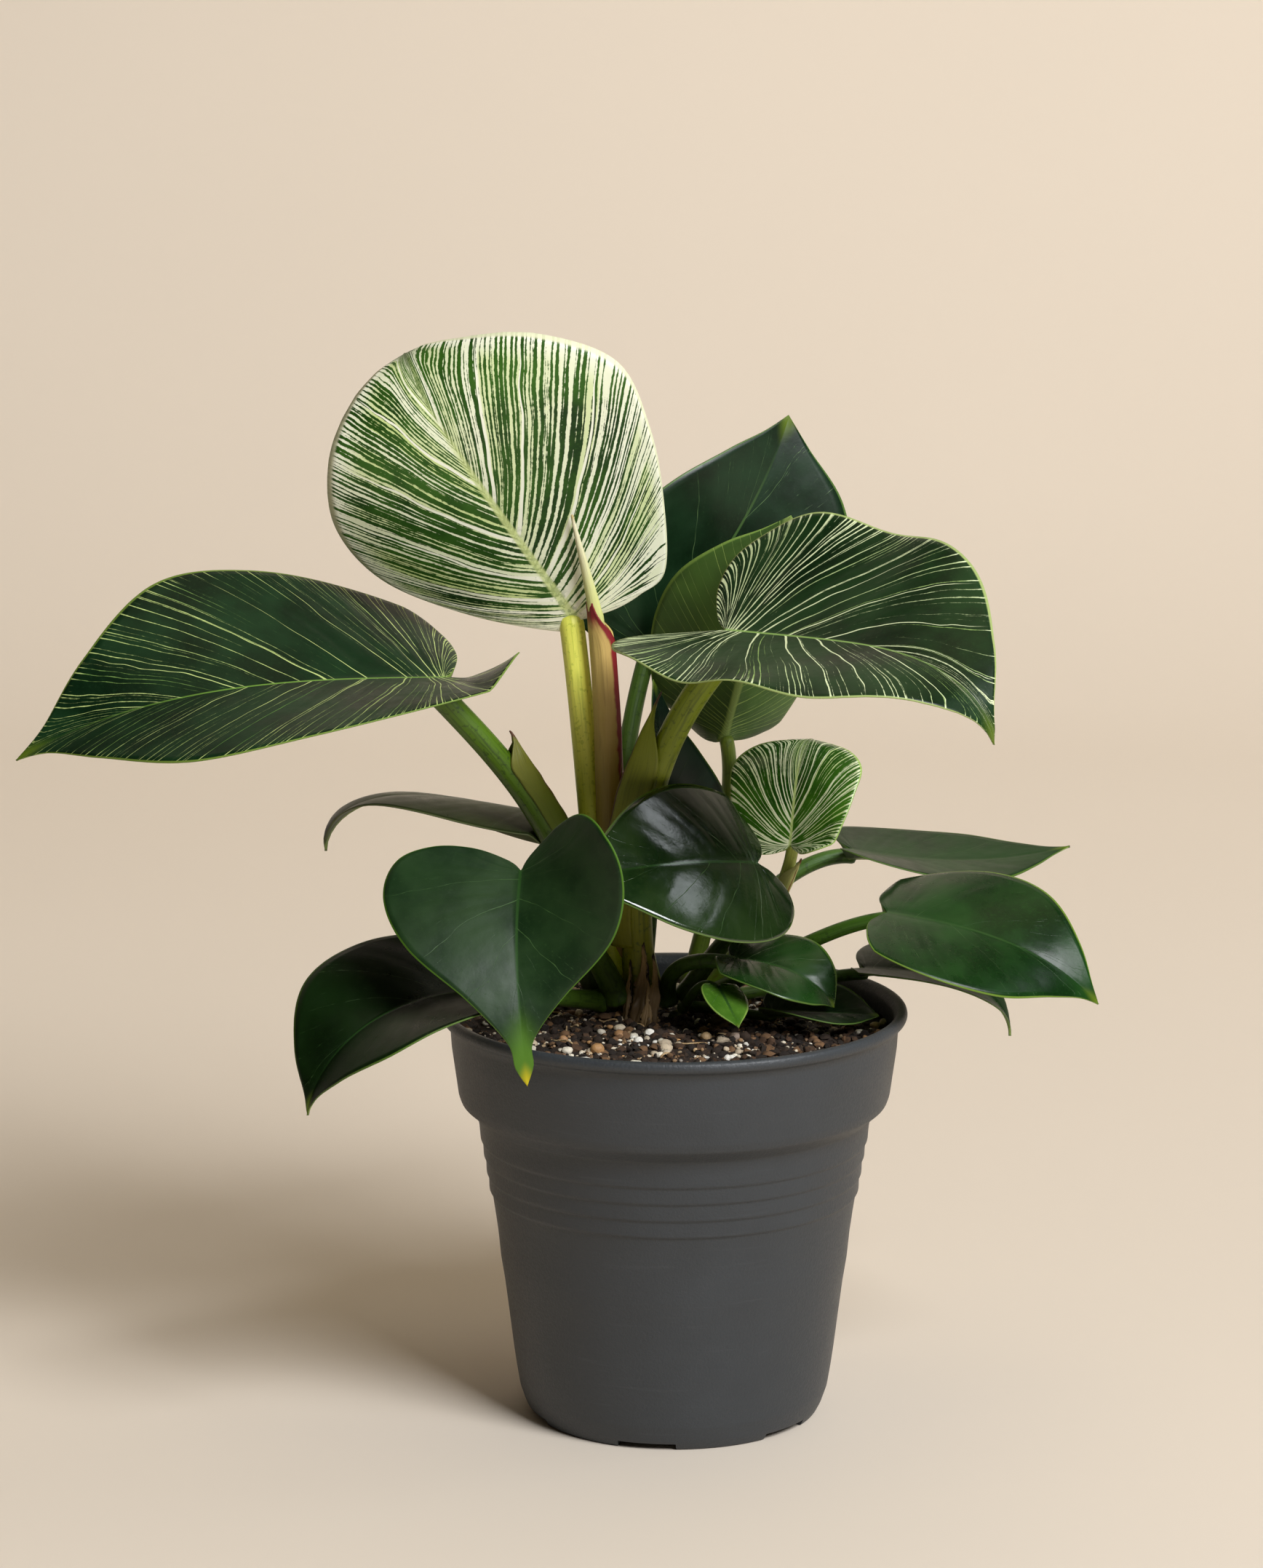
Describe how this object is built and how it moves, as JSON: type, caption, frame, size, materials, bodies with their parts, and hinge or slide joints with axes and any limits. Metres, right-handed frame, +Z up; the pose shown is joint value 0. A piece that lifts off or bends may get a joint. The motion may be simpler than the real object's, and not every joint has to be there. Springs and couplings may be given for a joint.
{
  "type": "potted philodendron birkin",
  "caption": "Leafy houseplant with glossy dark, cream-striped heart-shaped leaves on upright stalks, growing in soil in a round tapered plastic nursery pot.",
  "frame": {"origin": "middle of the pot's underside, on the surface that it stands on", "axes": "+Z up along the pot's axis; -Y towards the front, where the lowest heart-shaped leaf hangs over the lip; +X to the right as seen from the front"},
  "size_m": [0.2716, 0.1384, 0.281],
  "materials": {
    "pot": "moulded charcoal plastic with a fine matte grain, a little smoother on the lip",
    "soil": "moist dark peat with white and cream perlite and small tan stones",
    "stem": "green to brown, ringed with old leaf scars",
    "leaf_dark": "glossy dark green with cream side veins",
    "leaf_striped": "glossy green with dense cream pinstripes",
    "leaf_mid": "satin mid green",
    "petiole": "yellow-green with dark flecks, satin",
    "sheath": "pale green going brown along a torn edge",
    "leaf_sleeve": "pinkish tan with a dark red edge",
    "rolled_leaf": "cream, satin",
    "dry_scale": "dry brown and papery"
  },
  "bodies": {
    "root": {"pot": "pot", "soil": "soil", "stem_main": "stem", "stem_side": "stem", "stem_small": "stem", "blade_top_striped": "leaf_striped", "blade_left_long": "leaf_dark", "blade_right_wavy": "leaf_dark", "blade_back_upright": "leaf_dark", "blade_back_turned": "leaf_mid", "blade_young_striped": "leaf_striped", "blade_front_glossy": "leaf_dark", "blade_front_heart": "leaf_dark", "blade_front_drooping": "leaf_dark", "blade_left_low": "leaf_dark", "blade_right_flat": "leaf_dark", "blade_right_round": "leaf_dark", "blade_right_low": "leaf_dark", "blade_rim_round": "leaf_dark", "blade_rim_bud": "leaf_mid", "blade_rim_flat": "leaf_dark", "blade_back_hidden": "leaf_dark", "petiole_top_striped": "petiole", "petiole_left_long": "petiole", "petiole_right_wavy": "petiole", "petiole_back_upright": "petiole", "petiole_back_turned": "petiole", "petiole_young_striped": "petiole", "petiole_front_glossy": "petiole", "petiole_front_heart": "petiole", "petiole_front_drooping": "petiole", "petiole_left_low": "petiole", "petiole_right_flat": "petiole", "petiole_right_round": "petiole", "petiole_right_low": "petiole", "petiole_rim_round": "petiole", "petiole_rim_bud": "petiole", "petiole_rim_flat": "petiole", "petiole_back_hidden": "petiole", "rolled_leaf": "rolled_leaf", "leaf_sleeve": "leaf_sleeve", "sheath_right_wavy": "sheath", "sheath_left_long": "sheath", "sheath_young_striped": "sheath", "dry_scale_main": "dry_scale", "dry_scale_small": "dry_scale"}
  },
  "joints": []
}
